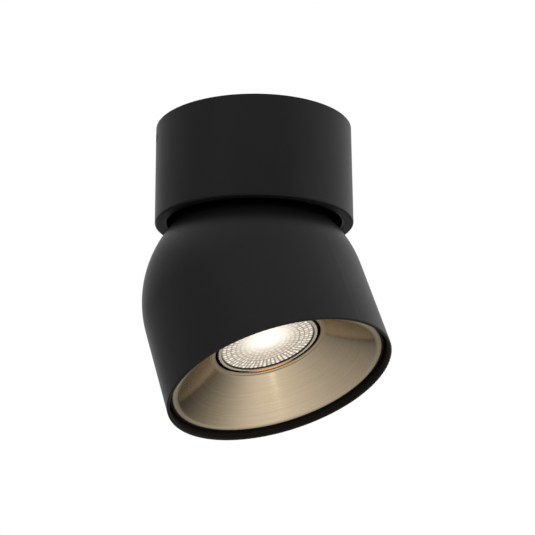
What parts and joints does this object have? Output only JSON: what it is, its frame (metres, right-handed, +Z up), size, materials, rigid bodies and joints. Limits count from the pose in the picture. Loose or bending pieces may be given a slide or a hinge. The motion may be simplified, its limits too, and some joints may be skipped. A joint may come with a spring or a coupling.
{
  "type": "ceiling spotlight",
  "caption": "Surface mounted ceiling spotlight: a round black canopy and a domed shade under it that pans and tilts, with a brass-toned reflector and a twist-lock lamp.",
  "frame": {"origin": "middle of the ceiling plane, which is the middle of the ceiling screw pattern and of the canopy's open top", "axes": "+Z up into the ceiling, X along the ceiling bracket and its two screw slots; the pan turns about Z"},
  "size_m": [0.118, 0.122, 0.1526],
  "materials": {
    "canopy_paint": "satin",
    "shade_paint": "satin",
    "zinc_steel": "satin",
    "black_steel": "matte",
    "screw_black": "satin",
    "spring_steel": "satin",
    "brass_parts": "satin",
    "reflector_brass": "satin",
    "rivet_alu": "satin",
    "block_plastic": "satin",
    "nylon": "matte",
    "bush_plastic": "matte",
    "fibre": "matte",
    "lead_brown": "satin",
    "lead_blue": "satin",
    "lead_green": "satin",
    "lead_silicone": "satin",
    "holder_ceramic": "matte",
    "lamp_shell": "satin",
    "lamp_lens": "polished",
    "led_board": "matte",
    "led_phosphor": "satin",
    "driver_board": "satin",
    "lamp_base": "satin",
    "pin_metal": "polished"
  },
  "bodies": {
    "canopy_body": {"canopy": "canopy_paint", "ceiling_bracket": "zinc_steel", "canopy_side_screws": "screw_black", "carrier_plate": "black_steel", "pan_stop_pin": "zinc_steel", "terminal_block": "block_plastic", "terminal_clamps": "brass_parts", "terminal_screws": "zinc_steel", "terminal_fixing_screws": "zinc_steel", "earth_tag": "brass_parts", "earth_washer": "zinc_steel", "earth_screw": "zinc_steel", "earth_lead": "lead_green", "live_lead": "lead_brown", "neutral_lead": "lead_blue"},
    "pan_body": {"pan_nipple": "zinc_steel", "pan_collar": "zinc_steel", "lower_slip_washer": "nylon", "upper_slip_washer": "nylon", "stop_washer": "zinc_steel", "pan_disc_spring": "spring_steel", "pan_nut": "zinc_steel", "yoke": "black_steel", "yoke_upper_nut": "zinc_steel", "yoke_lower_nut": "zinc_steel", "nipple_bush": "bush_plastic"},
    "head_body": {"shade": "shade_paint", "lamp_frame": "black_steel", "tilt_friction_washers": "fibre", "tilt_springs": "spring_steel", "tilt_screws": "screw_black", "tilt_nuts": "zinc_steel", "lampholder": "holder_ceramic", "lampholder_contacts": "brass_parts", "lampholder_screws": "zinc_steel", "holder_leads": "lead_silicone", "reflector": "reflector_brass", "reflector_clips": "spring_steel", "clip_rivets": "rivet_alu"},
    "lamp_body": {"lamp_housing": "lamp_shell", "lamp_lens": "lamp_lens", "led_board": "led_board", "led_chip": "led_phosphor", "lamp_driver": "driver_board", "lamp_base": "lamp_base", "lamp_pins": "pin_metal"}
  },
  "joints": [
    {"name": "pan", "type": "hinge", "parent": "canopy_body", "child": "pan_body", "pos_m": [0, 0, -0.08873], "axis": [0, 0, 1], "range_deg": [-170, 170]},
    {"name": "tilt", "type": "hinge", "parent": "pan_body", "child": "head_body", "pos_m": [0, 0, -0.08873], "axis": [-0.8545, -0.5195, 0], "range_deg": [-22.8, 7.2]},
    {"name": "lamp_twist", "type": "hinge", "parent": "head_body", "child": "lamp_body", "pos_m": [0, 0, -0.08873], "axis": [0.2013, -0.3311, -0.9219], "range_deg": [0, 20]}
  ]
}
